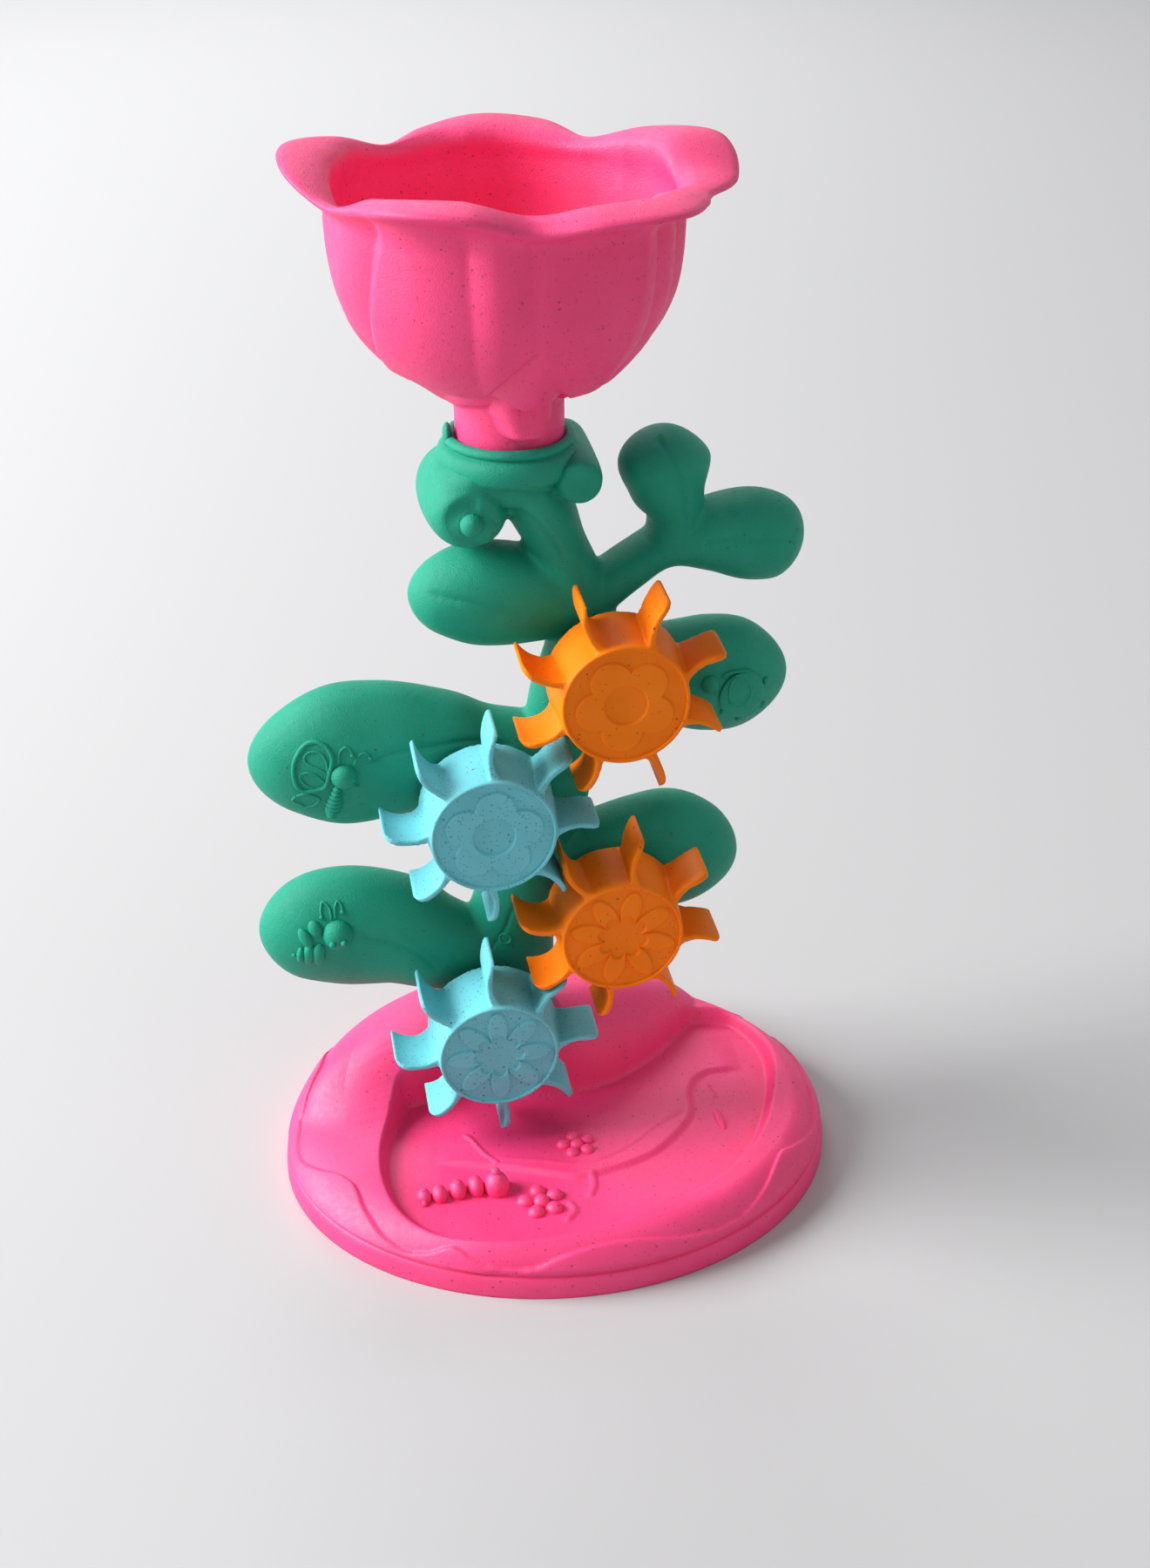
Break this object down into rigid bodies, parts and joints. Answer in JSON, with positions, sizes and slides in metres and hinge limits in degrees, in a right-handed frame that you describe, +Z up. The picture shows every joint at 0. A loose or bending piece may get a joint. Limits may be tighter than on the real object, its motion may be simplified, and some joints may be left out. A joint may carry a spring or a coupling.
{
  "type": "sand wheel toy",
  "caption": "Flower-shaped sand and water mill: petalled funnel on a leafy stem that carries a staggered row of meshing paddle wheels above an oval pond base.",
  "frame": {"origin": "centre of the base's oval outline, on the ground", "axes": "+Z up, -Y to the front where the wheels and the pond are, +X to the right seen from the front"},
  "size_m": [0.2292, 0.1946, 0.4041],
  "materials": {
    "base_pink": "satin, speckled",
    "stem_green": "satin, fine grain, speckled",
    "funnel_pink": "satin, fine grain, speckled",
    "wheel_orange": "satin, speckled",
    "wheel_turquoise": "satin, speckled"
  },
  "bodies": {
    "stand": {"base": "base_pink", "stem": "stem_green", "pin_top": "wheel_orange", "pin_second": "wheel_turquoise", "pin_third": "wheel_orange", "pin_bottom": "wheel_turquoise"},
    "hopper": {"funnel": "funnel_pink"},
    "wheel_1": {"wheel_top": "wheel_orange"},
    "wheel_2": {"wheel_second": "wheel_turquoise"},
    "wheel_3": {"wheel_third": "wheel_orange"},
    "wheel_4": {"wheel_bottom": "wheel_turquoise"}
  },
  "joints": [
    {"name": "wheel_1_spin", "type": "hinge", "parent": "stand", "child": "wheel_1", "pos_m": [0.02357, 0.006, 0.2156], "axis": [0, 1, 0], "continuous": true},
    {"name": "wheel_2_spin", "type": "hinge", "parent": "stand", "child": "wheel_2", "pos_m": [-0.02583, 0.006, 0.1644], "axis": [0, 1, 0], "continuous": true},
    {"name": "wheel_3_spin", "type": "hinge", "parent": "stand", "child": "wheel_3", "pos_m": [0.02357, 0.006, 0.1132], "axis": [0, 1, 0], "continuous": true},
    {"name": "wheel_4_spin", "type": "hinge", "parent": "stand", "child": "wheel_4", "pos_m": [-0.02583, 0.006, 0.062], "axis": [0, 1, 0], "continuous": true},
    {"name": "funnel_lift", "type": "slide", "parent": "stand", "child": "hopper", "axis": [0, 0, 1], "range_m": [0, 0.03]}
  ],
  "couplings": [
    {"joint": "wheel_2_spin", "follows": "wheel_1_spin", "ratio": -1},
    {"joint": "wheel_3_spin", "follows": "wheel_1_spin", "ratio": 1},
    {"joint": "wheel_4_spin", "follows": "wheel_1_spin", "ratio": -1}
  ]
}
